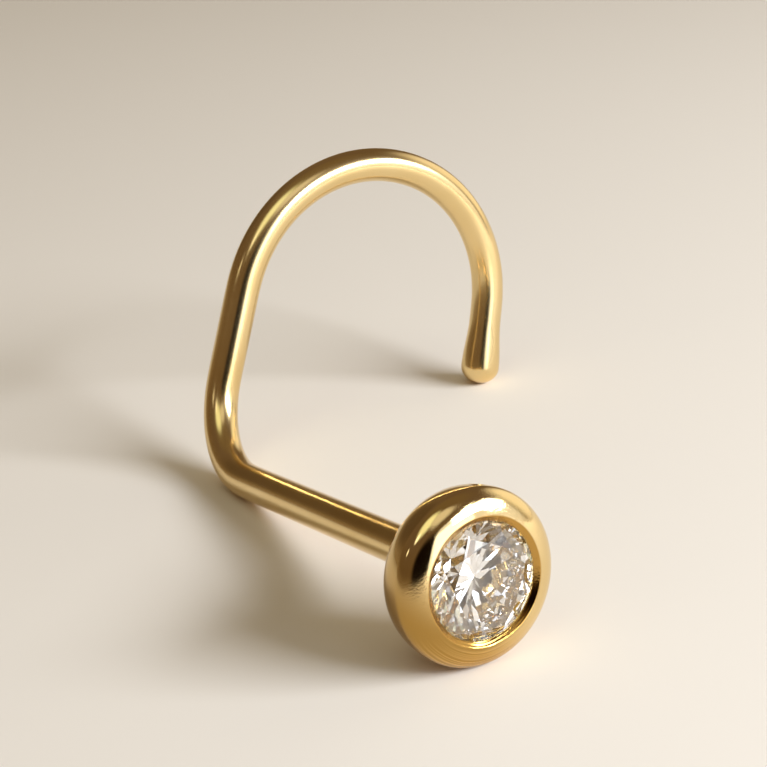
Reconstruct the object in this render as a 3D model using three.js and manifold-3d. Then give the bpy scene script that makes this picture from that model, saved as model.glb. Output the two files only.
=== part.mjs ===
// A nose stud with a screw wire, in millimetres, +Z up.
// A round brilliant sits in a plump gold bezel. The bezel is soldered to a wire that runs straight back as
// the post, turns up at a bend, hooks over and curls down into a short tail with a swollen, rounded tip.
// The stud is drawn in its own frame: the middle of the bezel's flat back is the origin, the post runs
// along +Y, the leg rises along +Z and the hook curls towards +X. It is then laid down unworn, on the three
// places that carry it: the bezel's rim, the bend and the tip.
import * as THREE from "three";
import { ConvexGeometry } from "three/addons/geometries/ConvexGeometry.js";
import { mergeVertices } from "three/addons/utils/BufferGeometryUtils.js";
import Module from "manifold-3d";

// Stone, a round brilliant. Its angles are in degrees from the girdle's plane.
const STONE_DIAMETER = 2;
const TABLE_DIAMETER = 1.24; // across the table's corners
const CROWN_ANGLE = 34.5;
const PAVILION_ANGLE = 40.75;
const GIRDLE_HEIGHT = 0.06;
const STAR_REACH = 0.5; // share of the way from the table's edge to the girdle that a star facet takes
const LOWER_REACH = 0.77; // share of the way from the girdle to the culet that a lower facet takes
const STONE_TURN = 17; // degrees about the post
const MAIN_FACETS = 8; // kites round the crown, and as many mains round the pavilion

// Bezel
const WALL = 0.385; // gold outside the stone, at the widest line
const BACK_THICKNESS = 0.51; // gold between the culet and the flat back
const BACK_DIAMETER = 1.24; // the flat back face
const LIP_OVERLAP = 0.09; // how far the lip reaches in over the stone
const LIP_EDGE = 0.02; // height of the lip's inner edge
const LIP_BEVEL = 0.095; // width of the slope from the inner edge up to the crest
const LIP_HEIGHT = 0.175; // of the crest above the girdle
const DOME_DEPTH = 0.325; // from the crest back to the widest line
const DOME_TURN = 70; // degrees of a quarter that the dome takes, so that it slopes right from the crest
const SIDE_DEPTH = 0.52; // from the widest line back to the shoulder
const SHOULDER_INSET = 0.18; // of the shoulder from the widest line
const SEAT_CLEARANCE = 0.02; // between the stone and the gold, all round

// Wire, 22 gauge. Its radii are those of the centreline.
const WIRE_DIAMETER = 0.64;
const POST_LENGTH = 7.6; // from the flat back to the corner where post and leg would meet
const BEND_RADIUS = 1.67;
const BEND_TURN = 90; // degrees
const LEG_LENGTH = 1.71; // the straight part of the leg
const HOOK_RADIUS = 2.96;
const HOOK_TURN = 99.5; // degrees
const CURL_RADIUS = 2.61;
const CURL_TURN = 73; // degrees
const TAIL_LENGTH = 1.62; // from the end of the curl to the end of the tip
const TIP_DIAMETER = 0.78;
const TIP_LENGTH = 1.3; // the swelling and the rounded end
const TIP_ROUND = 0.34; // the rounded end alone

// Fineness of the faceted solids
const BEZEL_SIDES = 64;
const SECTION_STEPS = 7; // to each rounded quarter of the bezel's section
const WIRE_SIDES = 16;
const WIRE_STEP = 0.15; // length of one step along the wire
const TIP_STEPS = 5; // to the swelling, and again to the rounded end
const WELD_DISTANCE = 1e-5; // corners nearer than this become one
const LAYING_ROUNDS = 20; // looks for the lowest points; they stay the same after two or three

const wasm = await Module();
wasm.setup();

const { degToRad, smoothstep, lerp } = THREE.MathUtils;
const postAxis = new THREE.Vector3(0, 1, 0);
const legAxis = new THREE.Vector3(0, 0, 1);
const hookAxis = new THREE.Vector3(1, 0, 0);

const gold = new THREE.MeshStandardMaterial({ color: "#d9a94f", roughness: 0.16, metalness: 1 });
const diamond = new THREE.MeshStandardMaterial({ color: "#eef0f2", roughness: 0.02, metalness: 0 });

// The stone's sizes, and its levels above the flat back
const stoneRadius = STONE_DIAMETER / 2;
const tableRadius = TABLE_DIAMETER / 2;
const crownSlope = Math.tan(degToRad(CROWN_ANGLE));
const pavilionSlope = Math.tan(degToRad(PAVILION_ANGLE));
const culetLevel = BACK_THICKNESS;
const girdleFoot = culetLevel + stoneRadius * pavilionSlope;
const girdleTop = girdleFoot + GIRDLE_HEIGHT;
const tableLevel = girdleTop + (stoneRadius - tableRadius) * crownSlope;

// A closed geometry as a solid that can be joined and cut
function solid(geometry) {
  const bare = geometry.clone().deleteAttribute("normal").deleteAttribute("uv");
  const merged = mergeVertices(bare, WELD_DISTANCE);
  return new wasm.Manifold(
    new wasm.Mesh({
      numProp: 3,
      vertProperties: merged.getAttribute("position").array,
      triVerts: new Uint32Array(merged.index.array),
    }),
  );
}

// A solid back as a geometry with flat faces
function geometryOf(made) {
  const { vertProperties, triVerts } = made.getMesh();
  const shared = new THREE.BufferGeometry();
  shared.setAttribute("position", new THREE.BufferAttribute(vertProperties, 3));
  shared.setIndex(new THREE.BufferAttribute(triVerts, 1));
  const flat = shared.toNonIndexed();
  flat.computeVertexNormals();
  return flat;
}

// A point of the stone: a distance from the axis, a level above the flat back and a number of facets on
function stonePoint(radius, level, facet) {
  const angle = (facet / MAIN_FACETS) * 2 * Math.PI + degToRad(STONE_TURN);
  return new THREE.Vector3(radius * Math.cos(angle), -level, radius * Math.sin(angle));
}

// The brilliant is the hull of its corners. Kites and mains lie on planes at the crown and pavilion angles,
// and where two neighbours meet, half a facet on, the star and lower facets have their points.
function stoneGeometry() {
  const halfFacet = Math.cos(Math.PI / MAIN_FACETS);
  const tableEdge = tableRadius * halfFacet;
  const starRadius = lerp(tableEdge, stoneRadius, STAR_REACH);
  const starLevel = tableLevel - (starRadius * halfFacet - tableRadius) * crownSlope;
  const lowerRadius = stoneRadius * (1 - LOWER_REACH);
  const lowerLevel = culetLevel + lowerRadius * halfFacet * pavilionSlope;
  const corners = [stonePoint(0, culetLevel, 0)];
  for (let facet = 0; facet < MAIN_FACETS; facet += 1) {
    corners.push(stonePoint(tableRadius, tableLevel, facet));
    corners.push(stonePoint(starRadius, starLevel, facet + 0.5));
    corners.push(stonePoint(lowerRadius, lowerLevel, facet + 0.5));
    for (const level of [girdleTop, girdleFoot]) {
      corners.push(stonePoint(stoneRadius, level, facet));
      corners.push(stonePoint(stoneRadius, level, facet + 0.5));
    }
  }
  return new ConvexGeometry(corners);
}

// The rest of a quarter ellipse, or of its first part, from one point of a section to the next. It sets off
// square to the axis and arrives along it, or the other way round where it sets off along the axis.
function quarter(from, to, alongAxis, wholeTurn = Math.PI / 2) {
  const points = [];
  for (let i = 1; i <= SECTION_STEPS; i += 1) {
    const turn = (i / SECTION_STEPS) * wholeTurn;
    const slow = (1 - Math.cos(turn)) / (1 - Math.cos(wholeTurn));
    const fast = Math.sin(turn) / Math.sin(wholeTurn);
    const across = lerp(from.x, to.x, alongAxis ? slow : fast);
    const level = lerp(from.y, to.y, alongAxis ? fast : slow);
    points.push(new THREE.Vector2(across, level));
  }
  return points;
}

// The bezel's section, from the axis at the flat back, round the rim and the lip, to the axis in the seat.
// x is the distance from the axis and y the level above the flat back.
function bezelSection() {
  const lipRadius = stoneRadius - LIP_OVERLAP;
  const crest = new THREE.Vector2(lipRadius + LIP_BEVEL, girdleTop + LIP_HEIGHT);
  const widest = new THREE.Vector2(stoneRadius + WALL, crest.y - DOME_DEPTH);
  const shoulder = new THREE.Vector2(widest.x - SHOULDER_INSET, widest.y - SIDE_DEPTH);
  const crownGap = SEAT_CLEARANCE / Math.cos(degToRad(CROWN_ANGLE));
  const lipFoot = girdleTop + LIP_OVERLAP * crownSlope + crownGap;
  const seatRadius = stoneRadius + SEAT_CLEARANCE;
  const seatTop = lipFoot - (seatRadius - lipRadius) * crownSlope;
  const seatBottom = culetLevel - SEAT_CLEARANCE / Math.cos(degToRad(PAVILION_ANGLE));
  return [
    new THREE.Vector2(0, 0),
    new THREE.Vector2(BACK_DIAMETER / 2, 0),
    shoulder,
    ...quarter(shoulder, widest, false),
    ...quarter(widest, crest, true, degToRad(DOME_TURN)),
    new THREE.Vector2(lipRadius, lipFoot + LIP_EDGE),
    new THREE.Vector2(lipRadius, lipFoot),
    new THREE.Vector2(seatRadius, seatTop),
    new THREE.Vector2(seatRadius, seatBottom + seatRadius * pavilionSlope),
    new THREE.Vector2(0, seatBottom),
  ];
}

// A lathe turns about +Y, so the section is rolled over to face -Y.
function bezelGeometry() {
  return new THREE.LatheGeometry(bezelSection(), BEZEL_SIDES).rotateX(Math.PI);
}

// An arc that sets off from a point in one direction and turns towards another, square to the first
class Arc extends THREE.Curve {
  constructor(start, ahead, side, radius, turn) {
    super();
    Object.assign(this, { start, ahead, side, radius, turn });
  }
  getPoint(share, target = new THREE.Vector3()) {
    const angle = this.turn * share;
    return target
      .copy(this.start)
      .addScaledVector(this.ahead, this.radius * Math.sin(angle))
      .addScaledVector(this.side, this.radius * (1 - Math.cos(angle)));
  }
}

// A run of lines and arcs, each going on smoothly from the one before
class WirePath extends THREE.CurvePath {
  constructor(start, ahead, side) {
    super();
    Object.assign(this, { end: start.clone(), ahead: ahead.clone(), side: side.clone() });
  }
  line(length) {
    const start = this.end.clone();
    this.end.addScaledVector(this.ahead, length);
    this.add(new THREE.LineCurve3(start, this.end.clone()));
    return this;
  }
  arc(radius, degrees) {
    const turn = degToRad(degrees);
    const arc = new Arc(this.end.clone(), this.ahead.clone(), this.side.clone(), radius, turn);
    this.add(arc);
    this.end.copy(arc.getPoint(1));
    const axis = arc.ahead.clone().cross(arc.side);
    this.ahead.applyAxisAngle(axis, turn);
    this.side.applyAxisAngle(axis, turn);
    return this;
  }
  turnTowards(side) {
    this.side.copy(side);
    return this;
  }
}

// The wire's centreline. The post is sunk halfway into the gold behind the stone.
function wirePath() {
  const root = new THREE.Vector3(0, -BACK_THICKNESS / 2, 0);
  return new WirePath(root, postAxis, legAxis)
    .line(BACK_THICKNESS / 2 + POST_LENGTH - BEND_RADIUS)
    .arc(BEND_RADIUS, BEND_TURN)
    .line(LEG_LENGTH)
    .turnTowards(hookAxis)
    .arc(HOOK_RADIUS, HOOK_TURN)
    .arc(CURL_RADIUS, CURL_TURN)
    .line(TAIL_LENGTH - TIP_ROUND);
}

// The round wire itself. Its cut end is buried in the tip.
function wireGeometry(path) {
  const section = new THREE.Shape();
  for (let i = 0; i < WIRE_SIDES; i += 1) {
    const angle = (i / WIRE_SIDES) * 2 * Math.PI;
    const x = (WIRE_DIAMETER / 2) * Math.cos(angle);
    const y = (WIRE_DIAMETER / 2) * Math.sin(angle);
    if (i === 0) section.moveTo(x, y);
    else section.lineTo(x, y);
  }
  const steps = Math.round(path.getLength() / WIRE_STEP);
  return new THREE.ExtrudeGeometry(section, { steps, extrudePath: path });
}

// The tip starts inside the wire, swells to its full width and closes in a rounded end.
function tipGeometry(path) {
  const full = TIP_DIAMETER / 2;
  const start = WIRE_DIAMETER / 2 - (full - WIRE_DIAMETER / 2);
  const section = [new THREE.Vector2(0, TIP_ROUND - TIP_LENGTH)];
  for (let i = 0; i <= TIP_STEPS; i += 1) {
    const share = i / TIP_STEPS;
    const swollen = lerp(start, full, smoothstep(share, 0, 1));
    section.push(new THREE.Vector2(swollen, lerp(TIP_ROUND - TIP_LENGTH, 0, share)));
  }
  for (let i = 1; i <= TIP_STEPS; i += 1) {
    const turn = (i / TIP_STEPS) * (Math.PI / 2);
    section.push(new THREE.Vector2(full * Math.cos(turn), TIP_ROUND * Math.sin(turn)));
  }
  const turned = new THREE.Quaternion().setFromUnitVectors(postAxis, path.ahead);
  return new THREE.LatheGeometry(section, WIRE_SIDES)
    .applyQuaternion(turned)
    .translate(path.end.x, path.end.y, path.end.z);
}

// The corners of a geometry as points
function cornersOf(geometry) {
  const position = geometry.getAttribute("position");
  return Array.from({ length: position.count }, (unused, i) =>
    new THREE.Vector3().fromBufferAttribute(position, i),
  );
}

// The upward normal of the surface that the stud lies on: the plane through the lowest point of each support
function normalUnder(supports) {
  const up = legAxis.clone();
  const plane = new THREE.Plane();
  for (let i = 0; i < LAYING_ROUNDS; i += 1) {
    const lowest = supports.map((points) =>
      points.reduce((low, point) => (point.dot(up) < low.dot(up) ? point : low)),
    );
    plane.setFromCoplanarPoints(...lowest);
    up.copy(plane.normal).multiplyScalar(Math.sign(plane.normal.z));
  }
  return up;
}

// The turn that makes a direction of the stud's own frame +Z and keeps the post in the plane of Y and Z
function layingTurn(up) {
  const ahead = postAxis.clone().projectOnPlane(up).normalize();
  const right = ahead.clone().cross(up);
  const basis = new THREE.Matrix4().makeBasis(right, ahead, up);
  return new THREE.Quaternion().setFromRotationMatrix(basis).invert();
}

function namedMesh(name, geometry, material) {
  const mesh = new THREE.Mesh(geometry, material);
  mesh.name = name;
  return mesh;
}

const path = wirePath();
const bezel = bezelGeometry();
const wire = wireGeometry(path);
const tip = tipGeometry(path);
// The hook curls away from the post, so the post, the bend and the leg are all that is near its plane.
const shankCorners = cornersOf(wire).filter((point) => point.x < WIRE_DIAMETER);
const up = normalUnder([cornersOf(bezel), shankCorners, cornersOf(tip)]);

const stud = new THREE.Group();
stud.add(namedMesh("setting_and_wire", geometryOf(solid(bezel).add(solid(wire)).add(solid(tip))), gold));
stud.add(namedMesh("stone", stoneGeometry(), diamond));
stud.quaternion.copy(layingTurn(up));

// The origin is the middle of the footprint's box, on the surface.
const box = new THREE.Box3().setFromObject(stud, true);
const middle = box.getCenter(new THREE.Vector3());
stud.position.set(-middle.x, -middle.y, -box.min.z);

export default new THREE.Group().add(stud);
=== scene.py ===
"""Looks of a nose stud: a round brilliant in a plump gold bezel, on a wire bent to a screw.

Sizes are in millimetres and belong to the stud's own frame, as a maker would draw it: the middle of the
bezel's flat back is the origin, the post runs along +Y, the leg rises along +Z and the hook curls towards
+X. A level is a height above the flat back, towards -Y. The finished stud is laid down unworn on the three
places that carry it, and only then turned to metres.
"""

import logging
import math
from dataclasses import dataclass
from enum import Enum
from typing import Any

import bpy
import numpy as np
from mathutils import Matrix, Vector


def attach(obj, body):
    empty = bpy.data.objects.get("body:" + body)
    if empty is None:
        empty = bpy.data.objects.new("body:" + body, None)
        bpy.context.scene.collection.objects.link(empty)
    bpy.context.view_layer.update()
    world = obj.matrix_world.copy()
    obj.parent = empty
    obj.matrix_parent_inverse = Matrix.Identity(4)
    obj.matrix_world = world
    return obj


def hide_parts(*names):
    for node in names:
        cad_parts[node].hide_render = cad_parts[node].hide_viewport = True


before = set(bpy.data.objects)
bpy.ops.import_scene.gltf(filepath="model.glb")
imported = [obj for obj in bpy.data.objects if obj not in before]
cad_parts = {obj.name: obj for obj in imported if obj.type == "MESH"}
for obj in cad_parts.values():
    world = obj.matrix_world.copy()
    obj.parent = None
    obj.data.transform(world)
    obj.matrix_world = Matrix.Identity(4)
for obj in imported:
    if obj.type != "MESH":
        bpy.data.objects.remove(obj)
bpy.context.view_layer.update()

Array = np.ndarray
Colour = tuple[float, float, float, float]
Tree = bpy.types.NodeTree
Socket = bpy.types.NodeSocket
Found = dict[str, Socket]  # outputs of a material's node tree, each under the name of what it gives

MM = 0.001  # metres in a millimetre
PER_MM = 1 / MM  # turns Object coordinates, in metres, to a pattern's own millimetres
FULL_TURN = 2 * math.pi
QUARTER_TURN = math.pi / 2
BELL_REACH = 3  # a bell curve is cut off at this many times its width
TINY = 1e-9  # least length that a normal is divided by; at a pole it has none
SKIN_MAP = "skin"  # the gold's UV map
# a Mix node's sockets have the same names for every kind of data, so they are found by number
NUMBER_A, NUMBER_B, NUMBER_OUT = 2, 3, 0
COLOUR_A, COLOUR_B, COLOUR_OUT = 6, 7, 2
LOG = logging.getLogger("nose_stud")


class Axis(Enum):
    """The directions of the stud's own frame."""

    HOOK = (1.0, 0.0, 0.0)
    POST = (0.0, 1.0, 0.0)
    LEG = (0.0, 0.0, 1.0)

    @property
    def vector(self) -> Array:
        """The direction as an array."""
        return np.array(self.value)


def unit(vectors: Array) -> Array:
    """Vectors scaled to length 1."""
    return vectors / np.linalg.norm(vectors, axis=-1, keepdims=True)


def bell(width: float, step: float, reach: int) -> Array:
    """Weights of a bell curve that add to 1: e to minus half the squared distance, counted in widths."""
    weights = np.exp(-0.5 * (np.arange(-reach, reach + 1) * step / width) ** 2)
    return weights / weights.sum()


def rounded(line: Array, step: float, softness: float) -> Array:
    """A polyline walked in even steps, its corners rounded.

    Each new point is the average of the line around it, weighted by a bell curve. The line is carried on
    past its ends, turned about them, so that the ends stay in place.

    Args:
        line: The corners, one row each.
        step: Distance between the points of the new line.
        softness: Width of the bell curve, in the line's own unit.

    Returns:
        The points of the rounded line, one row each.
    """
    lengths = np.linalg.norm(np.diff(line, axis=0), axis=1)
    along = np.concatenate([[0.0], np.cumsum(lengths)])
    stations = np.linspace(0.0, along[-1], int(along[-1] / step) + 1)
    walked = np.stack([np.interp(stations, along, column) for column in line.T], axis=1)
    reach = math.ceil(BELL_REACH * softness / step)
    weights = bell(softness, step, reach)
    before = 2 * walked[0] - walked[reach:0:-1]
    after = 2 * walked[-1] - walked[-2 : -reach - 2 : -1]
    padded = np.concatenate([before, walked, after])
    return np.stack([np.convolve(column, weights, "valid") for column in padded.T], axis=1)


def quarter(start: Array, end: Array, steps: int, along_axis: bool, left_out: float = 0.0) -> Array:
    """The rest of a quarter ellipse between two points of a section.

    One coordinate goes as the sine of the turn and the other as one minus its cosine, each stretched to
    reach the end.

    Args:
        start: Distance from the axis and level that it leaves.
        end: Distance from the axis and level that it reaches.
        steps: Number of points.
        along_axis: Whether it sets off along the axis instead of square to it.
        left_out: Degrees of the quarter that are left out at its start, so that it sets off at a slope.

    Returns:
        The points after the start, one row each.
    """
    first = math.radians(left_out)
    turn = np.linspace(first, QUARTER_TURN, steps + 1)[1:, None]
    slow = 1 - np.cos(turn) / math.cos(first)
    fast = (np.sin(turn) - math.sin(first)) / (1 - math.sin(first))
    share = np.hstack([slow, fast] if along_axis else [fast, slow])
    return start + (end - start) * share


@dataclass(frozen=True)
class Rings:
    """A skin as a stack of circles, each with its middle, radius and two unit vectors that span it."""

    middles: Array
    radii: Array
    across: Array
    upward: Array

    def points(self, sides: int) -> Array:
        """Points of the skin on a grid: middle + radius * (cos turn * across + sin turn * upward).

        Args:
            sides: Number of points round each circle.

        Returns:
            An array of circles by points by 3.
        """
        turn = np.arange(sides) * FULL_TURN / sides
        spokes = (
            np.cos(turn)[None, :, None] * self.across[:, None, :]
            + np.sin(turn)[None, :, None] * self.upward[:, None, :]
        )
        return self.middles[:, None, :] + self.radii[:, None, None] * spokes

    def then(self, other: "Rings") -> "Rings":
        """This stack with another one carried on from it."""
        parts = ("middles", "radii", "across", "upward")
        return Rings(*(np.concatenate([getattr(self, part), getattr(other, part)]) for part in parts))


MAINS = 8  # kites round the crown, and mains round the pavilion
HALVES = 2 * MAINS  # half facets along the girdle, above it and below


@dataclass(frozen=True)
class Brilliant:
    """A round brilliant: table, stars, kites, upper halves, girdle, lower halves, mains and a sharp culet.

    Angles are in degrees from the girdle's plane.
    """

    diameter: float = 2.0
    table_diameter: float = 1.24
    crown_angle: float = 34.5
    pavilion_angle: float = 40.75
    girdle_height: float = 0.06
    star_reach: float = 0.5  # share of the way from the table's edge to the girdle
    lower_reach: float = 0.77  # share of the way from the girdle to the culet
    turn: float = 17.0  # degrees that the stone is turned in its setting
    culet_level: float = 0.51
    arc_steps: int = 6  # points to the girdle's arc under each half facet

    @property
    def radius(self) -> float:
        """Distance from the axis to the girdle."""
        return self.diameter / 2

    @property
    def crown_slope(self) -> float:
        """Rise of the kites for each millimetre inwards."""
        return math.tan(math.radians(self.crown_angle))

    @property
    def pavilion_slope(self) -> float:
        """Drop of the mains for each millimetre inwards."""
        return math.tan(math.radians(self.pavilion_angle))

    @property
    def girdle_foot(self) -> float:
        """Level of the girdle's lower corners."""
        return self.culet_level + self.radius * self.pavilion_slope

    @property
    def girdle_top(self) -> float:
        """Level of the girdle's upper corners."""
        return self.girdle_foot + self.girdle_height

    @property
    def table_level(self) -> float:
        """Level of the table."""
        return self.girdle_top + (self.radius - self.table_diameter / 2) * self.crown_slope

    def round_points(self, radius: float, level: float, place: Array) -> Array:
        """Points at one distance from the axis and one level, each at its place from 0 to 8 round it."""
        angle = place * FULL_TURN / MAINS + math.radians(self.turn)
        return np.stack([radius * np.cos(angle), np.full_like(angle, -level), radius * np.sin(angle)], axis=1)

    def girdle_line(self, level: float, tips: Array) -> Array:
        """The wavy edge where the half facets meet the round girdle.

        Each half facet's plane runs through a tip and two corners of the girdle; the level of a point
        between those corners is read off that plane.

        Args:
            level: Level of the girdle's corners.
            tips: The eight tips that the half facets share in pairs.

        Returns:
            The points of the edge, one row each.
        """
        main_steps = 2 * self.arc_steps
        edge = self.round_points(self.radius, level, np.arange(MAINS * main_steps) / main_steps)
        corners = edge[:: self.arc_steps]
        tip = np.repeat(tips, 2, axis=0)
        normal = np.cross(corners - tip, np.roll(corners, -1, axis=0) - tip)
        tip, normal = (np.repeat(rows, self.arc_steps, axis=0) for rows in (tip, normal))
        away = edge - tip
        edge[:, 1] = tip[:, 1] - (normal[:, 0] * away[:, 0] + normal[:, 2] * away[:, 2]) / normal[:, 1]
        return edge

    def corners(self) -> Array:
        """The stone's corners.

        The stars' tips lie on the kites' planes and the lower halves' tips on the mains', which is what
        sets their levels.

        Returns:
            Table, stars' tips, lower halves' tips, culet, girdle's top and girdle's foot, one row a corner.
        """
        main = np.arange(MAINS)
        half = main + 0.5
        lean = math.cos(math.pi / MAINS)
        table_radius = self.table_diameter / 2
        table_edge = table_radius * lean
        star_radius = table_edge + (self.radius - table_edge) * self.star_reach
        star_level = self.table_level - (star_radius * lean - table_radius) * self.crown_slope
        lower_radius = self.radius * (1 - self.lower_reach)
        lower_level = self.culet_level + lower_radius * lean * self.pavilion_slope
        table = self.round_points(table_radius, self.table_level, main)
        stars = self.round_points(star_radius, star_level, half)
        lowers = self.round_points(lower_radius, lower_level, half)
        culet = self.round_points(0.0, self.culet_level, np.zeros(1))
        top = self.girdle_line(self.girdle_top, stars)
        foot = self.girdle_line(self.girdle_foot, lowers)
        return np.concatenate([table, stars, lowers, culet, top, foot])

    def facets(self) -> list[list[int]]:
        """The flat facets: table, stars, kites, upper halves, girdle, lower halves and mains.

        Returns:
            The corner numbers of each facet, seen from outside.
        """
        main = np.arange(MAINS)
        after, before = np.roll(main, -1), np.roll(main, 1)
        star_at, lower_at, culet_at = MAINS, 2 * MAINS, 3 * MAINS
        top_at = culet_at + 1
        rim = np.arange(HALVES * self.arc_steps)
        rim_after = np.roll(rim, -1)
        foot_at = top_at + len(rim)
        main_at = main * 2 * self.arc_steps
        pair = np.arange(HALVES)[:, None] // 2
        arc = np.arange(HALVES)[:, None] * self.arc_steps + np.arange(self.arc_steps + 1)[None, :]
        arc %= len(rim)
        culet = np.full(MAINS, culet_at)
        groups = (
            main[None, :],
            np.stack([main, star_at + main, after], axis=1),
            np.stack([main, star_at + before, top_at + main_at, star_at + main], axis=1),
            np.hstack([star_at + pair, top_at + arc]),
            np.stack([top_at + rim, foot_at + rim, foot_at + rim_after, top_at + rim_after], axis=1),
            np.hstack([lower_at + pair, foot_at + arc[:, ::-1]]),
            np.stack([culet, lower_at + main, foot_at + main_at, lower_at + before], axis=1),
        )
        return [facet for group in groups for facet in group.tolist()]


@dataclass(frozen=True)
class Bezel:
    """The plump gold rim that holds the stone, as one section turned about the post's axis."""

    stone: Brilliant
    wall: float = 0.385  # from the girdle out to the rim's widest line
    back_diameter: float = 1.24
    lip_overlap: float = 0.09  # how far the lip reaches in over the girdle
    lip_edge: float = 0.02  # height of the lip's inner edge
    lip_bevel: float = 0.095  # from that edge out to the crest
    lip_height: float = 0.175  # from the girdle up to the crest
    dome_depth: float = 0.325  # from the crest down to the widest line
    dome_left_out: float = 20.0  # degrees of the dome's quarter that are left out at the crest
    side_depth: float = 0.52  # from the widest line down to the shoulder
    shoulder_inset: float = 0.18
    seat_clearance: float = 0.02  # gap between the stone and its seat
    solder_fillet: float = 0.12
    curve_steps: int = 24
    step: float = 0.012  # between the points of the section
    softness: float = 0.008  # of the section's corners

    @property
    def crest(self) -> Array:
        """Distance from the axis and level of the rim's highest line."""
        radius = self.stone.radius - self.lip_overlap + self.lip_bevel
        return np.array([radius, self.stone.girdle_top + self.lip_height])

    def corners(self, post_radius: float) -> Array:
        """The section's line before its corners are rounded: from the seat's bottom over the lip to the post.

        Args:
            post_radius: Radius of the wire that the back is soldered to.

        Returns:
            Distance from the axis and level, one row each.
        """
        stone = self.stone
        lip = stone.radius - self.lip_overlap
        seat = stone.radius + self.seat_clearance
        crown_gap = self.seat_clearance / math.cos(math.radians(stone.crown_angle))
        lip_foot = stone.girdle_top + self.lip_overlap * stone.crown_slope + crown_gap
        bottom = stone.culet_level - self.seat_clearance / math.cos(math.radians(stone.pavilion_angle))
        widest = np.array([stone.radius + self.wall, self.crest[1] - self.dome_depth])
        shoulder = widest - np.array([self.shoulder_inset, self.side_depth])
        foot = np.array([post_radius, -self.solder_fillet])
        fillet = np.array([post_radius + self.solder_fillet, 0.0])
        inside = np.array(
            [
                [0.0, bottom],
                [seat, bottom + seat * stone.pavilion_slope],
                [seat, lip_foot - (seat - lip) * stone.crown_slope],
                [lip, lip_foot],
                [lip, lip_foot + self.lip_edge],
            ]
        )
        return np.concatenate(
            [
                inside,
                self.crest[None, :],
                quarter(self.crest, widest, self.curve_steps, along_axis=False, left_out=self.dome_left_out),
                quarter(widest, shoulder, self.curve_steps, along_axis=True),
                np.array([[self.back_diameter / 2, 0.0]]),
                fillet[None, :],
                quarter(fillet, foot, self.curve_steps, along_axis=False),
            ]
        )

    def rings(self, post_radius: float) -> Rings:
        """The bezel's skin: every point of the section becomes a circle about the post's axis.

        Args:
            post_radius: Radius of the wire that the back is soldered to.

        Returns:
            Circles from the seat's bottom over the lip to the post.
        """
        section = rounded(self.corners(post_radius), self.step, self.softness)
        count = len(section)
        return Rings(
            -section[:, 1:] * Axis.POST.vector,
            section[:, 0],
            np.tile(Axis.HOOK.vector, (count, 1)),
            np.tile(Axis.LEG.vector, (count, 1)),
        )


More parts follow.
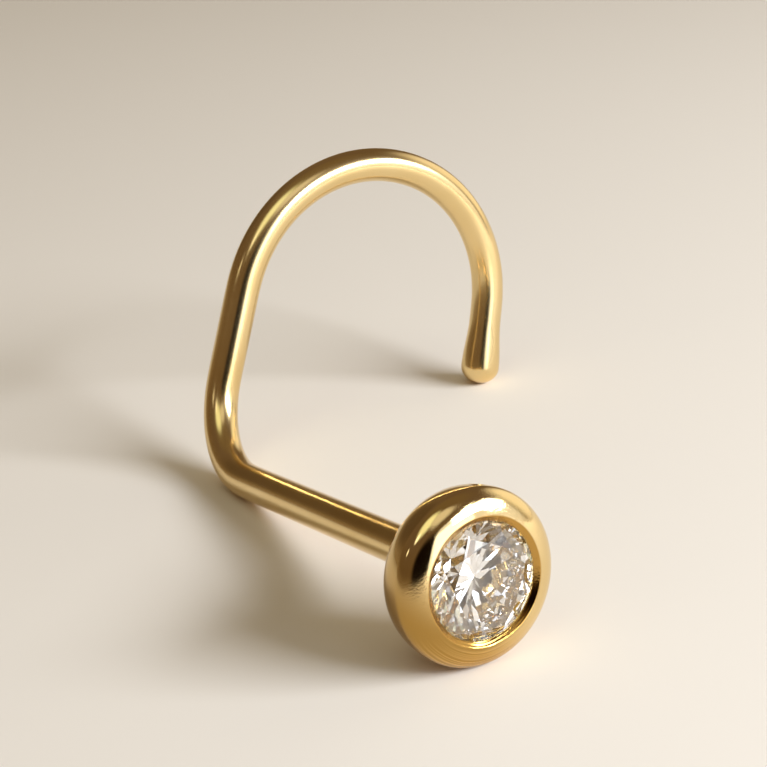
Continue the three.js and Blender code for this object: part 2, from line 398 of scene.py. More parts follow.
@dataclass(frozen=True)
class ScrewWire:
    """The round wire: post, square bend, leg, hook, curl and a short tail with a swollen, rounded tip.

    Radii of bends are those of the centreline, and turns are in degrees.
    """

    start: float  # distance behind the flat back where this skin begins
    diameter: float = 0.64
    post_length: float = 7.6  # from the flat back to the bend's corner
    bend_radius: float = 1.67
    leg_length: float = 1.71
    hook_radius: float = 2.96
    hook_turn: float = 99.5
    curl_radius: float = 2.61
    curl_turn: float = 73.0
    tail_length: float = 1.62
    tip_diameter: float = 0.78
    tip_length: float = 1.3  # of the swelling, with its rounded end
    tip_round: float = 0.34  # of the rounded end alone
    ease: float = 0.16  # a bend by hand starts and ends over about this length
    fine_step: float = 0.01  # between the points at which the centreline is worked out
    ring_every: int = 6  # fine steps from one circle of the skin to the next
    cap_steps: int = 16  # circles that close the rounded end

    def runs(self) -> Array:
        """The wire as straight and bent lengths, before its bends are eased.

        Returns:
            Length, bend in radians a millimetre and hook in radians a millimetre of each, one row each.
        """
        bend = 1 / self.bend_radius
        hook = 1 / self.hook_radius
        curl = 1 / self.curl_radius
        return np.array(
            [
                [self.post_length - self.bend_radius - self.start, 0.0, 0.0],
                [self.bend_radius * QUARTER_TURN, bend, 0.0],
                [self.leg_length, 0.0, 0.0],
                [self.hook_radius * math.radians(self.hook_turn), 0.0, hook],
                [self.curl_radius * math.radians(self.curl_turn), 0.0, curl],
                [self.tail_length - self.tip_round, 0.0, 0.0],
            ]
        )

    def curvature(self) -> tuple[Array, float]:
        """How sharply the wire turns at each small step, blurred by a bell curve so that bends ease in.

        Returns:
            Bend and hook for each step, one row each, and the exact length of a step.
        """
        runs = self.runs()
        ends = np.cumsum(runs[:, 0])
        count = int(round(ends[-1] / self.fine_step))
        step = ends[-1] / count
        stations = (np.arange(count) + 0.5) * step
        sharp = runs[np.searchsorted(ends, stations).clip(0, len(runs) - 1), 1:]
        weights = bell(self.ease, step, int(BELL_REACH * self.ease / step))
        return np.stack([np.convolve(column, weights, "same") for column in sharp.T], axis=1), step

    def path(self) -> tuple[Array, Array, Array, Array, float]:
        """The centreline, and the directions along and across it.

        The curvature summed along the wire gives how far it has bent up (a) and hooked over (b). It heads
        towards cos b * (cos a * post + sin a * leg) + sin b * hook, and that heading summed along the wire
        gives its centreline.

        Returns:
            Points, headings and two unit vectors square to each heading, one row each, and a step's length.
        """
        turning, step = self.curvature()
        turned = np.concatenate([np.zeros((1, 2)), np.cumsum(turning, axis=0) * step])
        bent, hooked = turned[:, :1], turned[:, 1:]
        post, leg, hook = Axis.POST.vector, Axis.LEG.vector, Axis.HOOK.vector
        rising = np.cos(bent) * post + np.sin(bent) * leg
        ahead = np.cos(hooked) * rising + np.sin(hooked) * hook
        across = np.cos(hooked) * hook - np.sin(hooked) * rising
        upward = np.cos(bent) * leg - np.sin(bent) * post
        between = unit(ahead[1:] + ahead[:-1])
        middles = self.start * post + np.concatenate([np.zeros((1, 3)), np.cumsum(between * step, axis=0)])
        return middles, ahead, across, upward, step

    def rings(self) -> Rings:
        """The wire's skin.

        Over the swelling the radius grows as 3 * share squared - 2 * share cubed. The rounded end is a
        quarter ellipse turned about the last heading.

        Returns:
            Circles along the centreline, closing over the rounded end.
        """
        middles, ahead, across, upward, step = self.path()
        last = len(middles) - 1
        left = (last - np.arange(last + 1)) * step
        share = np.clip(1 - left / (self.tip_length - self.tip_round), 0.0, 1.0)
        thin, full = self.diameter / 2, self.tip_diameter / 2
        radii = thin + (full - thin) * share**2 * (3 - 2 * share)
        kept = np.unique(np.append(np.arange(self.ring_every, last + 1, self.ring_every), last))
        shank = Rings(middles[kept], radii[kept], across[kept], upward[kept])
        turn = np.linspace(0.0, QUARTER_TURN, self.cap_steps + 1)[1:, None]
        cap = Rings(
            middles[-1] + self.tip_round * np.sin(turn) * ahead[-1],
            full * np.cos(turn[:, 0]),
            np.tile(across[-1], (self.cap_steps, 1)),
            np.tile(upward[-1], (self.cap_steps, 1)),
        )
        return shank.then(cap)


@dataclass(frozen=True)
class HandWork:
    """What a jeweller's hands leave on the gold: a burnished lip that wavers and a rim that isn't quite true.

    A push is the most that the waves together can move a point, and most points move much less.
    """

    seed: int = 7
    waves: int = 9
    fewest: int = 3  # times that the longest wave goes up and down round the rim
    drift: float = 5.0  # most that a wave slips round the rim, in radians for each millimetre of level
    rim_push: float = 0.004
    lip_push: float = 0.0072  # added inside the crest, where the burnisher worked most
    reach: float = 0.16  # distance from the crest over which the rim's push fades
    lip_reach: float = 0.5  # the same for the lip's push, as a share of the rim's
    front_reach: float = 3.0  # how far behind the crest all of it has gone down to half, in reaches

    def lift(self, skin: Array, crest: Array) -> Array:
        """How far each point near the lip is pushed off the true section.

        It is a sum of cosine waves round the rim, each with its own phase, that drifts a little from circle
        to circle and fades with the distance from the crest.

        Args:
            skin: Circles by points by 3, in the stud's frame.
            crest: Distance from the axis and level of the rim's highest line.

        Returns:
            Millimetres for each point, circles by points.
        """
        rng = np.random.default_rng(self.seed)
        distance = np.hypot(skin[..., 0], skin[..., 2])
        level = -skin[..., 1]
        turn = np.arctan2(skin[..., 2], skin[..., 0])
        count = np.arange(self.fewest, self.fewest + self.waves)
        phase = rng.uniform(0, FULL_TURN, self.waves)
        drift = rng.uniform(-self.drift, self.drift, self.waves)
        height = rng.normal(0, 1, self.waves) / np.sqrt(count)
        angles = turn[..., None] * count + phase + level[..., None] * drift
        waver = (height * np.cos(angles)).sum(axis=-1) / np.abs(height).sum()
        away = np.hypot(distance - crest[0], level - crest[1])
        near = np.exp(-0.5 * (away / self.reach) ** 2)
        inner = np.exp(-0.5 * (away / (self.reach * self.lip_reach)) ** 2) * (distance < crest[0])
        front = 1 / (1 + np.exp(-(level - crest[1] + self.front_reach * self.reach) / self.reach))
        return waver * (self.rim_push * near + self.lip_push * inner) * front


class Lying:
    """How the stud lies unworn: on its rim, its bend and its tip, with the footprint's middle as origin."""

    ROUNDS = 20  # more than it takes until the lowest points stay the same

    def __init__(self, supports: list[Array], everything: Array) -> None:
        """Finds the resting plane and the place of the origin.

        The plane goes through the lowest point of each support; which points are lowest is looked up again
        for each new plane until it stays the same.

        Args:
            supports: Three clouds of points, for the rim, the bend and the tip.
            everything: All points of the stud.
        """
        up = Axis.LEG.vector
        for _ in range(self.ROUNDS):
            low = [cloud[np.argmin(cloud @ up)] for cloud in supports]
            normal = unit(np.cross(low[1] - low[0], low[2] - low[0]))
            up = normal * np.sign(normal[2])
        ahead = unit(Axis.POST.vector - (Axis.POST.vector @ up) * up)
        self.turned = np.stack([np.cross(ahead, up), ahead, up])
        laid = everything @ self.turned.T
        low, high = laid.min(axis=0), laid.max(axis=0)
        self.origin = np.array([(low[0] + high[0]) / 2, (low[1] + high[1]) / 2, low[2]])

    def down(self, points: Array) -> Array:
        """Points of the stud's own frame, laid down and in metres."""
        return (points @ self.turned.T - self.origin) * MM


def mesh_object(name: str, points: Array, faces: list[list[int]]) -> bpy.types.Object:
    """Puts a mesh into the scene, its object at the origin.

    Args:
        name: Name of the object and its mesh.
        points: Corners in metres, one row each.
        faces: Corner numbers of each face, seen from outside.

    Returns:
        The new object.
    """
    mesh = bpy.data.meshes.new(name)
    mesh.from_pydata(points.tolist(), [], faces)
    mesh.update()
    made = bpy.data.objects.new(name, mesh)
    bpy.context.scene.collection.objects.link(made)
    return made


def linear(code: str) -> Colour:
    """An sRGB hex colour as linear light.

    Args:
        code: Six hex digits.

    Returns:
        Red, green, blue and an alpha of 1.
    """
    srgb = np.array([int(code[i : i + 2], 16) for i in (0, 2, 4)]) / 255
    light = np.where(srgb <= 0.04045, srgb / 12.92, ((srgb + 0.055) / 1.055) ** 2.4)
    return (*light.tolist(), 1.0)


def put(tree: Tree, kind: str, inputs: dict[Any, Any], **settings: Any) -> bpy.types.Node:
    """Adds a node with its settings and links.

    Args:
        tree: The tree that it goes in.
        kind: The node's type name.
        inputs: A value or another node's output for each input, by name or number.
        **settings: The node's own properties.

    Returns:
        The new node.
    """
    node = tree.nodes.new(kind)
    for name, value in settings.items():
        setattr(node, name, value)
    for key, value in inputs.items():
        if isinstance(value, Socket):
            tree.links.new(value, node.inputs[key])
        else:
            node.inputs[key].default_value = value
    return node


def new_material(name: str) -> tuple[bpy.types.Material, Tree]:
    """An empty material.

    Args:
        name: What the material is and how it was made.

    Returns:
        The material and its node tree.
    """
    material = bpy.data.materials.new(name)
    material.use_nodes = True
    material.node_tree.nodes.clear()
    return material, material.node_tree


@dataclass(frozen=True)
class PolishedGold:
    """14 carat yellow gold, drawn, bent and soldered, then polished on a felt buff.

    To the eye it is a mirror with a soft edge to every reflection. The buff leaves faint rings round the
    bezel. The rim's lower side, towards the floor, is duller and has painted shade in its colour, with
    painted highlight lines on the rings' crests; the lip's slope down to the stone has painted shade too,
    a darker line round it. The lip, pushed over the stone with a burnisher, keeps a fine pitted grain in
    places. Places along the skin and depths are in millimetres.
    """

    crest: float  # where the rim is highest, along the skin
    rim_end: float  # where the bezel ends at the wire, along the skin

    bright: str = "F2DAA6"  # freshly buffed: pale warm glints
    deep: str = "E4C586"  # where the buff pressed less: a fuller yellow
    dull_and_shaded: str = "B08A48"  # painted shade on the rim's lower side, towards the floor: brownish gold, seen in the rings' hollows
    ring_crest_highlight: str = "D6AF69"  # painted highlight: thin lighter lines on the rings' crests within that painted shade
    bevel_shade: str = "C2974F"  # painted shade on the lip's slope down to the stone: a darker line round it
    seat: str = "DCC384"  # bare cut metal under the stone: warm sparks in its facets

    roughness: float = 0.05  # as good as a mirror
    worn_roughness: float = 0.11  # the same with fine wipe marks, too small to see
    dull_roughness: float = 0.2  # the rim's lower side, duller as well as painted a shade deeper
    wire_roughness: float = 0.2  # drawn through a plate and only wiped over with the buff
    seat_roughness: float = 0.18  # the cutter's finish under the stone, never polished
    worn: tuple[float, float] = (0.3, 0.7)  # patch values between which the wipe marks come in

    patch_mm: float = 1.1  # size of the patches where tone and polish shift
    patch_detail: float = 2.0
    grain_mm: float = 0.03  # size of the burnisher's pits
    grain_detail: float = 3.0
    grain_crumble: float = 0.6  # how ragged the pits are
    grain_deep: float = 0.0045
    grain_full: float = 0.1  # past the crest, where the pits start to fade
    grain_gone: float = 0.6  # past the crest, where they are gone
    pitted: tuple[float, float] = (0.42, 0.6)  # patch values between which the pits come in
    ring_mm: float = 0.04  # the buff's rings are finer on the real one; drawn as coarse as the picture shows
    ring_detail: float = 2.0
    ring_deep: float = 0.009
    ring_sway: float = 2.0  # how far a ring wanders off its circle, in rings
    ring_low: float = 0.25  # height above the floor under which the rings are full
    ring_high: float = 0.95  # height at which they are gone
    ring_line: tuple[float, float] = (0.4, 0.65)  # ring values from a hollow to a crest

    seat_below: float = 0.13  # before the crest, where the seat ends under the lip
    seat_edge: float = 0.02  # over which the seat's tone gives way to the slope's
    bevel_edge: tuple[float, float] = (0.01, -0.02)  # past the crest, where the painted shade on the slope comes in
    joint_edge: float = 0.1  # over which the bezel's finish gives way to the wire's
    shade_from: tuple[float, float, float] = (-2.8, -4.7, 1.3)  # places between which the painted shade deepens, towards the rim's lower side
    shade_to: tuple[float, float, float] = (-3.5, -4.7, 0.5)

    def patterns(self, tree: Tree) -> Found:
        """The places and noises that the finish is made from.

        The rings are a noise in the distance along the skin, swayed by the patches. How much painted shade a
        point has goes by its share of the way from one place to another.

        Args:
            tree: The material's node tree.

        Returns:
            Outputs by name.
        """
        place = put(tree, "ShaderNodeTexCoord", {}).outputs["Object"]
        skin = put(tree, "ShaderNodeUVMap", {}, uv_map=SKIN_MAP).outputs["UV"]
        along = put(tree, "ShaderNodeSeparateXYZ", {0: skin}).outputs["Y"]
        height = put(tree, "ShaderNodeSeparateXYZ", {0: place}).outputs["Z"]
        # the painted shade deepens along this line, down towards the floor on the rim's lower side
        start, end = Vector(self.shade_from) * MM, Vector(self.shade_to) * MM
        from_start = put(tree, "ShaderNodeVectorMath", {0: place, 1: start}, operation="SUBTRACT")
        toward_shade = put(
            tree,
            "ShaderNodeVectorMath",
            {0: from_start.outputs["Vector"], 1: (end - start) / (end - start).length_squared},
            operation="DOT_PRODUCT",
        )
        patches = put(
            tree,
            "ShaderNodeTexNoise",
            {"Vector": place, "Scale": PER_MM / self.patch_mm, "Detail": self.patch_detail},
        ).outputs["Fac"]
        sway = put(tree, "ShaderNodeMath", {0: patches, 1: self.ring_sway}, operation="MULTIPLY")
        ring_place = put(
            tree,
            "ShaderNodeMath",
            {0: along, 1: 1 / self.ring_mm, 2: sway.outputs["Value"]},
            operation="MULTIPLY_ADD",
        )
        rings = put(
            tree,
            "ShaderNodeTexNoise",
            {"W": ring_place.outputs["Value"], "Scale": 1.0, "Detail": self.ring_detail},
            noise_dimensions="1D",
        )
        grain = put(
            tree,
            "ShaderNodeTexNoise",
            {
                "Vector": place,
                "Scale": PER_MM / self.grain_mm,
                "Detail": self.grain_detail,
                "Roughness": self.grain_crumble,
            },
        )
        return {
            "along": along,
            "height": height,
            "toward_shade": toward_shade.outputs["Value"],
            "patches": patches,
            "rings": rings.outputs["Fac"],
            "grain": grain.outputs["Fac"],
        }

    def shares(self, tree: Tree, found: Found) -> Found:
        """How much of each finish a point has, from 0 to 1.

        Each share rises softly while a pattern goes from one value to another. One that needs two shares is
        their product, and a bump's height is its pattern times its share.

        Args:
            tree: The material's node tree.
            found: The patterns.

        Returns:
            The patterns and the shares.
        """
        seat_end = self.crest - self.seat_below
        bevel_gone, bevel_full = self.bevel_edge
        rises = {
            "on_rim": ("along", self.rim_end + self.joint_edge, self.rim_end),
            "on_wire": ("along", self.rim_end, self.rim_end + self.joint_edge),
            "in_seat": ("along", seat_end + self.seat_edge, seat_end),
            "past_seat": ("along", seat_end, seat_end + self.seat_edge),
            "below_crest": ("along", self.crest + bevel_gone, self.crest + bevel_full),
            "near_lip": ("along", self.crest + self.grain_gone, self.crest + self.grain_full),
            "low_down": ("height", self.ring_high * MM, self.ring_low * MM),
            "shaded_side": ("toward_shade", 0.0, 1.0),
            "pitted": ("patches", *self.pitted),
            "ring_crest": ("rings", *self.ring_line),
        }
        products = {
            # painted shade and the duller finish on the rim's lower side
            "dull_and_shaded": ("shaded_side", "on_rim"),
            "ringed": ("low_down", "on_rim"),
            # where the painted highlight lines on the rings' crests go
            "ring_highlight_lines": ("ring_crest", "ringed"),
            # where the painted shade on the lip's slope goes
            "shaded_bevel": ("below_crest", "past_seat"),
            "grained": ("near_lip", "pitted"),
            "ring_height": ("rings", "ringed"),
            "grain_height": ("grain", "grained"),
        }
        for name, (pattern, low, high) in rises.items():
            rise = put(
                tree,
                "ShaderNodeMapRange",
                {"Value": found[pattern], "From Min": low, "From Max": high},
                interpolation_type="SMOOTHSTEP",
            )
            found = {**found, name: rise.outputs["Result"]}
        for name, (first, second) in products.items():
            both = put(tree, "ShaderNodeMath", {0: found[first], 1: found[second]}, operation="MULTIPLY")
            found = {**found, name: both.outputs["Value"]}
        return found

    def tone(self, tree: Tree, found: Found) -> Socket:
        """The colour: each tone is laid over those before it, as far as its share goes.

        Args:
            tree: The material's node tree.
            found: The patterns and the shares.

        Returns:
            Output with the colour.
        """
        # painted shade, with painted highlight lines on the rings' crests
        shaded_ring_tone = put(
            tree,
            "ShaderNodeMix",
            {"Factor": found["ring_highlight_lines"], COLOUR_A: linear(self.dull_and_shaded), COLOUR_B: linear(self.ring_crest_highlight)},
            data_type="RGBA",
        ).outputs[COLOUR_OUT]
        tone: Colour | Socket = linear(self.deep)
        layers = (
            ("patches", linear(self.bright)),
            # painted shade on the rim's lower side, with its painted highlight lines on the rings
            ("dull_and_shaded", shaded_ring_tone),
            # painted shade on the lip's slope down to the stone
            ("shaded_bevel", linear(self.bevel_shade)),
            ("in_seat", linear(self.seat)),
        )
        for share, over in layers:
            inputs = {"Factor": found[share], COLOUR_A: tone, COLOUR_B: over}
            tone = put(tree, "ShaderNodeMix", inputs, data_type="RGBA").outputs[COLOUR_OUT]
        return tone

    def polish(self, tree: Tree, found: Found) -> Socket:
        """The roughness: the buffed metal's own, with the plainer finishes laid over it.

        Args:
            tree: The material's node tree.
            found: The patterns and the shares.

        Returns:
            Output with the roughness.
        """
        low, high = self.worn
        buffed = put(
            tree,
            "ShaderNodeMapRange",
            {
                "Value": found["patches"],
                "From Min": low,
                "From Max": high,
                "To Min": self.roughness,
                "To Max": self.worn_roughness,
            },
        )
        rough = buffed.outputs["Result"]
        layers = (
            ("on_wire", self.wire_roughness),
            ("dull_and_shaded", self.dull_roughness),
            ("in_seat", self.seat_roughness),
        )
        for share, over in layers:
            inputs = {"Factor": found[share], NUMBER_A: rough, NUMBER_B: over}
            rough = put(tree, "ShaderNodeMix", inputs, data_type="FLOAT").outputs[NUMBER_OUT]
        return rough

    def make(self) -> bpy.types.Material:
        """Builds the node tree, with the buff's rings and the burnisher's pits as bumps of their real depth.

        Returns:
            The material.
        """
        material, tree = new_material("polished_14ct_yellow_gold")
        found = self.shares(tree, self.patterns(tree))
        relief: Found = {}
        for height, deep in (("ring_height", self.ring_deep), ("grain_height", self.grain_deep)):
            inputs = {"Height": found[height], "Strength": 1.0, "Distance": deep * MM, **relief}
            relief = {"Normal": put(tree, "ShaderNodeBump", inputs).outputs["Normal"]}
        inputs = {"Base Color": self.tone(tree, found), "Roughness": self.polish(tree, found), **relief}
        shader = put(tree, "ShaderNodeBsdfPrincipled", {"Metallic": 1.0, **inputs})
        put(tree, "ShaderNodeOutputMaterial", {"Surface": shader.outputs["BSDF"]})
        return material


@dataclass(frozen=True)
class CutDiamond:
    """Colourless diamond, sawn, cut and polished on a lap.

    Its high index throws most light back out through the crown, so that to the eye each facet is either
    bright or dark, with hard edges between them. The body is as good as clear, with a trace of warmth.
    """

    clear: str = "FFFFFF"
    warm: str = "FCFBFA"
    cloud_mm: float = 0.6  # size of the clouds of warmth
    cloud_detail: float = 2.0
    index: float = 2.417
    roughness: float = 0.0

    def make(self) -> bpy.types.Material:
        """Builds the node tree.

        Returns:
            The material.
        """
        material, tree = new_material("polished_diamond")
        place = put(tree, "ShaderNodeTexCoord", {}).outputs["Object"]
        cloud = put(
            tree,
            "ShaderNodeTexNoise",
            {"Vector": place, "Scale": PER_MM / self.cloud_mm, "Detail": self.cloud_detail},
        )
        tone = put(
            tree,
            "ShaderNodeMix",
            {"Factor": cloud.outputs["Fac"], COLOUR_A: linear(self.warm), COLOUR_B: linear(self.clear)},
            data_type="RGBA",
        )
        shader = put(
            tree,
            "ShaderNodeBsdfPrincipled",
            {
                "Base Color": tone.outputs[COLOUR_OUT],
                "Roughness": self.roughness,
                "IOR": self.index,
                "Transmission Weight": 1.0,
            },
        )
        put(tree, "ShaderNodeOutputMaterial", {"Surface": shader.outputs["BSDF"]})
        return material


@dataclass(frozen=True)
class MattFloor:
    """The plain pale surface that the stud lies on: uncoated board, which shows shadows and no gloss."""

    colour: str = "F2EADF"
    size: float = 0.9  # metres
    roughness: float = 0.9
    specular: float = 0.2

    def build(self) -> bpy.types.Object:
        """Makes the floor as one flat square.

        Returns:
            The floor.
        """
        half = self.size / 2
        corners = np.array([[-half, -half, 0], [half, -half, 0], [half, half, 0], [-half, half, 0]])
        floor = mesh_object("floor", corners, [[0, 1, 2, 3]])
        material, tree = new_material("pale_matt_floor")
        shader = put(
            tree,
            "ShaderNodeBsdfPrincipled",
            {
                "Base Color": linear(self.colour),
                "Roughness": self.roughness,
                "Specular IOR Level": self.specular,
            },
        )
        put(tree, "ShaderNodeOutputMaterial", {"Surface": shader.outputs["BSDF"]})
        floor.data.materials.append(material)
        return floor


@dataclass
class GoldWork:
    """The setting and the wire, soldered to one piece, as one closed skin."""

    bezel: Bezel
    wire: ScrewWire
    hand: HandWork = HandWork()
    sides: int = 112  # points round each circle

    def __post_init__(self) -> None:
        """Works out the skin: circles from the seat's bottom over the rim and along the wire to the tip."""
        rim = self.bezel.rings(self.wire.diameter / 2)
        stack = rim.then(self.wire.rings())
        skin = stack.points(self.sides)
        self.skin = skin + self.hand.lift(skin, self.bezel.crest)[..., None] * self.facing(skin)
        self.rim_count = len(rim.radii)
        steps = np.linalg.norm(np.diff(stack.middles, axis=0), axis=1)
        steps = np.hypot(steps, np.diff(stack.radii))
        self.along = np.concatenate([[0.0], np.cumsum(steps)])

    @staticmethod
    def facing(skin: Array) -> Array:
        """Which way a skin faces: the cross product of its slopes along it and round it.

        Args:
            skin: Circles by points by 3.

        Returns:
            A unit vector for each point.
        """
        along = np.gradient(skin, axis=0)
        around = np.roll(skin, -1, axis=1) - np.roll(skin, 1, axis=1)
        normal = np.cross(along, around)
        length = np.linalg.norm(normal, axis=-1, keepdims=True)
        return normal / np.maximum(length, TINY)

    def crest_along(self) -> float:
        """Distance along the skin at which the rim is highest."""
        levels = -self.skin[: self.rim_count, :, 1].mean(axis=1)
        return float(self.along[np.argmax(levels)])

    def supports(self) -> list[Array]:
        """The three places that the stud can lie on.

        Returns:
            The rim, the post with its bend, and the tip, each as a cloud of points.
        """
        wire = self.skin[self.rim_count :]
        shank = wire[: len(wire) // 2].reshape(-1, 3)
        tip_count = 2 * self.wire.cap_steps
        return [
            self.skin[: self.rim_count].reshape(-1, 3),
            shank[shank[:, 0] < self.wire.diameter],
            wire[-tip_count:].reshape(-1, 3),
        ]

    def faces(self, rows: int) -> list[list[int]]:
        """Quads between neighbouring circles, then a fan of triangles round each pole.

        Args:
            rows: Number of circles between the poles, whose points come after theirs.

        Returns:
            The corner numbers of each face, seen from outside.
        """
        sides = self.sides
        side = np.arange(sides)
        next_side = (side + 1) % sides
        row = np.arange(rows - 1)[:, None] * sides
        last = (rows - 1) * sides
        start_pole = np.full(sides, rows * sides)
        end_pole = start_pole + 1
        quads = np.stack([row + side, row + sides + side, row + sides + next_side, row + next_side], axis=-1)
        first_fan = np.stack([start_pole, side, next_side], axis=1)
        last_fan = np.stack([last + side, end_pole, last + next_side], axis=1)
        return quads.reshape(-1, 4).tolist() + first_fan.tolist() + last_fan.tolist()

    def unrolled(self) -> Array:
        """The skin laid flat, in turns round it and millimetres along it.

        Returns:
            Both numbers for each corner of each face, one after the other in the order of the faces.
        """
        share = np.arange(self.sides) / self.sides
        share_after = (np.arange(self.sides) + 1) / self.sides
        middle = (share + share_after) / 2
        here, there = self.along[1:-2, None], self.along[2:-1, None]
        begin, near, far, end = (self.along[at] for at in (0, 1, -2, -1))
        groups = (
            (share, here, share, there, share_after, there, share_after, here),
            (middle, begin, share, near, share_after, near),
            (share, far, middle, end, share_after, far),
        )
        grids = [np.stack(np.broadcast_arrays(*group), axis=-1) for group in groups]
        return np.concatenate([grid.reshape(-1) for grid in grids])

    def build(self, lying: Lying) -> bpy.types.Object:
        """Makes the closed mesh, smooth all over.

        Args:
            lying: How the stud lies.

        Returns:
            The gold piece with its own UV map.
        """
        body = self.skin[1:-1]
        poles = np.stack([self.skin[0].mean(axis=0), self.skin[-1].mean(axis=0)])
        points = np.concatenate([body.reshape(-1, 3), poles])
        faces = self.faces(len(body))
        piece = mesh_object("gold_setting_and_wire", lying.down(points), faces)
        piece.data.polygons.foreach_set("use_smooth", np.ones(len(faces), bool))
        piece.data.uv_layers.new(name=SKIN_MAP).uv.foreach_set("vector", self.unrolled())
        return piece

    def dress(self, piece: bpy.types.Object) -> None:
        """Gives the gold its finish, fitted to where this piece's crest and solder joint are."""
        gold = PolishedGold(crest=self.crest_along(), rim_end=float(self.along[self.rim_count - 1]))
        piece.data.materials.append(gold.make())


@dataclass
class StoneWork:
    """The cut stone, in its place under the lip."""

    cut: Brilliant
    finish: CutDiamond = CutDiamond()

    def build(self, lying: Lying) -> bpy.types.Object:
        """Makes the mesh, with a hard edge wherever two facets meet."""
        return mesh_object("brilliant_cut_stone", lying.down(self.cut.corners()), self.cut.facets())

    def dress(self, piece: bpy.types.Object) -> None:
        """Gives the stone its polish."""
        piece.data.materials.append(self.finish.make())


def heading(bearing: float, height: float) -> Vector:
    """A direction from the stud.

    Args:
        bearing: Degrees from +Y towards +X.
        height: Degrees above the floor.

    Returns:
        The unit vector.
    """
    turn, lift = math.radians(bearing), math.radians(height)
    return Vector((math.sin(turn) * math.cos(lift), math.cos(turn) * math.cos(lift), math.sin(lift)))


@dataclass(frozen=True)
class Lamp:
    """A soft box: a flat area light that faces the stud."""

    name: str
    bearing: float
    height: float
    distance: float
    size: tuple[float, float]  # width and height in metres
    power: float
    colour: str = "F0F6FF"  # daylight, a little cooler than the gold

    def build(self, aim: Vector) -> None:
        """Hangs the lamp.

        Args:
            aim: The point that it faces.
        """
        data = bpy.data.lights.new(self.name, "AREA")
        data.shape = "RECTANGLE"
        data.size, data.size_y = self.size
        data.energy = self.power
        data.color = linear(self.colour)[:3]
        lamp = bpy.data.objects.new(self.name, data)
        direction = heading(self.bearing, self.height)
        lamp.location = aim + direction * self.distance
        lamp.rotation_euler = direction.to_track_quat("Z", "Y").to_euler()
        bpy.context.scene.collection.objects.link(lamp)


@dataclass(frozen=True)
class Patch:
    """A soft round patch of the room, lighter or darker than what is round it."""

    bearing: float
    height: float
    inner: float  # degrees to where it starts to fade
    outer: float  # degrees to where it has faded
    colour: str

    def over(self, tree: Tree, place: Socket, below: Socket) -> Socket:
        """Lays the patch over what is there already.

        Args:
            tree: The world's node tree.
            place: Output with the direction looked in.
            below: Output with the colour so far.

        Returns:
            Output with the new colour.
        """
        towards = heading(self.bearing, self.height)
        nearness = put(tree, "ShaderNodeVectorMath", {0: place, 1: towards}, operation="DOT_PRODUCT")
        amount = put(
            tree,
            "ShaderNodeMapRange",
            {
                "Value": nearness.outputs["Value"],
                "From Min": math.cos(math.radians(self.outer)),
                "From Max": math.cos(math.radians(self.inner)),
            },
            interpolation_type="SMOOTHSTEP",
        )
        mixed = put(
            tree,
            "ShaderNodeMix",
            {"Factor": amount.outputs["Result"], COLOUR_A: below, COLOUR_B: linear(self.colour)},
            data_type="RGBA",
        )
        return mixed.outputs[COLOUR_OUT]


@dataclass(frozen=True)
class Room:
    """The soft light of the room round the stud: bands by height above the floor, with patches over them.

    Polished gold shows little but this room, so the patches are what gives it its lights and darks.
    """

    strength: float = 2.6  # lets a pale hex colour be as bright as a window
    bands: tuple[tuple[float, str], ...] = (
        (-4, "6A5D4A"),
        (12, "483A28"),
        (48, "44372A"),
        (68, "4A3D2A"),
    )
    patches: tuple[Patch, ...] = (
        Patch(85, 12, 12, 34, "B5AE9F"),  # a pale wall, low and wide
        Patch(-120, 66, 6, 22, "B4B79C"),  # the ceiling's lighter part
        Patch(-178, 60, 7, 18, "9B968A"),
        Patch(-162, 13, 15, 29, "080402"),  # the unlit side of the room: the dark patch on the rim
        Patch(-8, 22, 8, 24, "3B2F20"),
        Patch(-87, 33, 1.5, 5, "D9D6C8"),  # two small lights: glints on the rim
        Patch(-112, 50, 2.5, 8, "D9D6C8"),
    )

    def build(self) -> None:
        """Makes the world's node tree."""
        world = bpy.data.worlds.new("room")
        world.use_nodes = True
        tree = world.node_tree
        tree.nodes.clear()
        place = put(tree, "ShaderNodeTexCoord", {}).outputs["Generated"]
        parts = put(tree, "ShaderNodeSeparateXYZ", {0: place})
        # the sine of the height goes from -1 to 1, and the ramp from 0 to 1
        lift = put(tree, "ShaderNodeMapRange", {"Value": parts.outputs["Z"], "From Min": -1.0})
        ramp = put(tree, "ShaderNodeValToRGB", {"Fac": lift.outputs["Result"]})
        elements = ramp.color_ramp.elements
        while len(elements) < len(self.bands):
            elements.new(1.0)
        for element, (height, colour) in zip(elements, self.bands):
            element.position = (math.sin(math.radians(height)) + 1) / 2
            element.color = linear(colour)
        tone = ramp.outputs["Color"]
        for patch in self.patches:
            tone = patch.over(tree, place, tone)
        light = put(tree, "ShaderNodeBackground", {"Color": tone, "Strength": self.strength})
        put(tree, "ShaderNodeOutputWorld", {"Surface": light.outputs["Background"]})
        bpy.context.scene.world = world


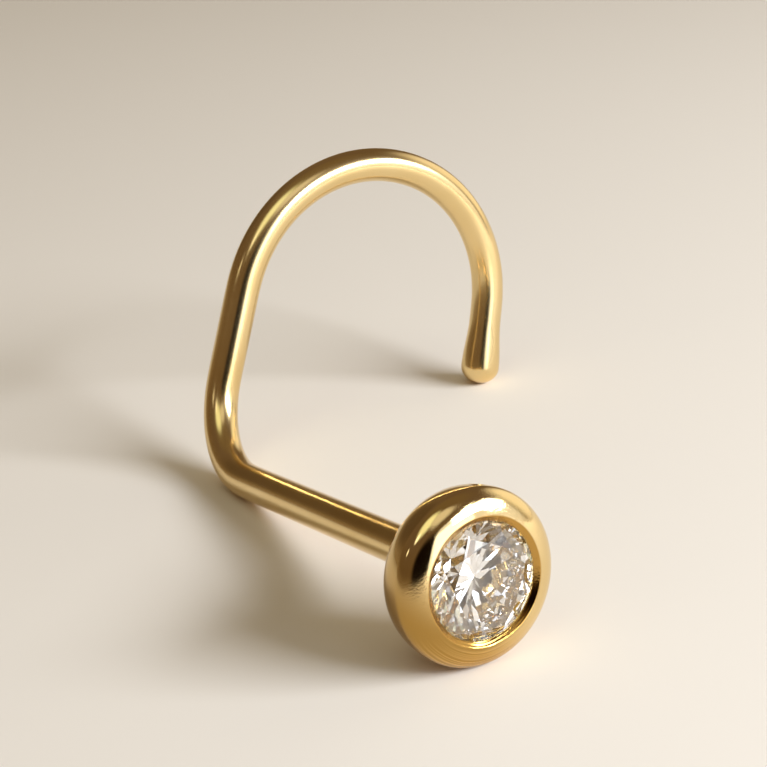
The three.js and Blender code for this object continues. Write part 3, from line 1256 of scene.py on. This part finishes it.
@dataclass(frozen=True)
class Viewpoint:
    """The camera, where the picture was taken from; its place is in millimetres."""

    position: tuple[float, float, float] = (-16.3462, -24.4167, 14.3792)
    right: tuple[float, float, float] = (0.83831, -0.54197, -0.05911)
    up: tuple[float, float, float] = (0.25257, 0.28999, 0.9231)
    lens: float = 85.38  # millimetres, for this sensor
    sensor: float = 36.0
    nearest: float = 0.001  # metres in front of the camera at which things start to show

    def build(self) -> None:
        """Puts the camera in its place."""
        data = bpy.data.cameras.new("camera")
        data.lens = self.lens
        data.sensor_width = self.sensor
        data.clip_start = self.nearest
        camera = bpy.data.objects.new("camera", data)
        right, up = Vector(self.right).normalized(), Vector(self.up).normalized()
        turned = Matrix((right, up, right.cross(up))).transposed().to_4x4()
        camera.matrix_world = Matrix.Translation(Vector(self.position) * MM) @ turned
        bpy.context.scene.collection.objects.link(camera)
        bpy.context.scene.camera = camera


@dataclass(frozen=True)
class Studio:
    """Plain pale floor, soft light and the camera."""

    floor: MattFloor = MattFloor()
    room: Room = Room()
    viewpoint: Viewpoint = Viewpoint()
    lamps: tuple[Lamp, ...] = (
        Lamp("window_softbox", 149, 18, 0.13, (0.15, 0.075), 0.036),  # wide and weak: soft shadows
        Lamp("softbox_hot_middle", 146, 28, 0.12, (0.08, 0.028), 0.205),  # the bright crescent on the rim
        Lamp("card_by_the_tip", 174, 10, 0.03, (0.015, 0.014), 0.001),  # a glint at the hook's end
    )
    aim: tuple[float, float, float] = (0.0, 0.0, 0.002)
    bounces: int = 64  # a reflection inside the stone counts as a glossy one, and light makes many

    def build(self) -> None:
        """Sets out the floor, the room, the lamps and the camera."""
        bpy.context.scene.view_settings.view_transform = "Standard"
        self.floor.build()
        self.room.build()
        for lamp in self.lamps:
            lamp.build(Vector(self.aim))
        self.viewpoint.build()
        cycles = bpy.context.scene.cycles
        cycles.max_bounces = self.bounces
        cycles.transmission_bounces = self.bounces
        cycles.glossy_bounces = self.bounces


def write_sizes() -> None:
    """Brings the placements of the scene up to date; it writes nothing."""
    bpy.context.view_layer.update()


def main() -> None:
    """Builds the stage, the gold and the stone, and reports each."""
    logging.basicConfig(level=logging.INFO, format="%(name)s: %(message)s")
    Studio().build()

    cut = Brilliant()
    bezel = Bezel(cut)
    gold = GoldWork(bezel, ScrewWire(start=bezel.solder_fillet))
    stone = StoneWork(cut)
    lying = Lying(gold.supports(), np.concatenate([gold.skin.reshape(-1, 3), cut.corners()]))

    gold_piece = gold.build(lying)
    gold.dress(gold_piece)
    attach(gold_piece, "root")
    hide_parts("setting_and_wire")
    LOG.info("%s: %d faces", gold_piece.name, len(gold_piece.data.polygons))

    stone_piece = stone.build(lying)
    stone.dress(stone_piece)
    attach(stone_piece, "root")
    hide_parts("stone")
    LOG.info("%s: %d facets", stone_piece.name, len(stone_piece.data.polygons))

    write_sizes()


if __name__ == "__main__":
    main()
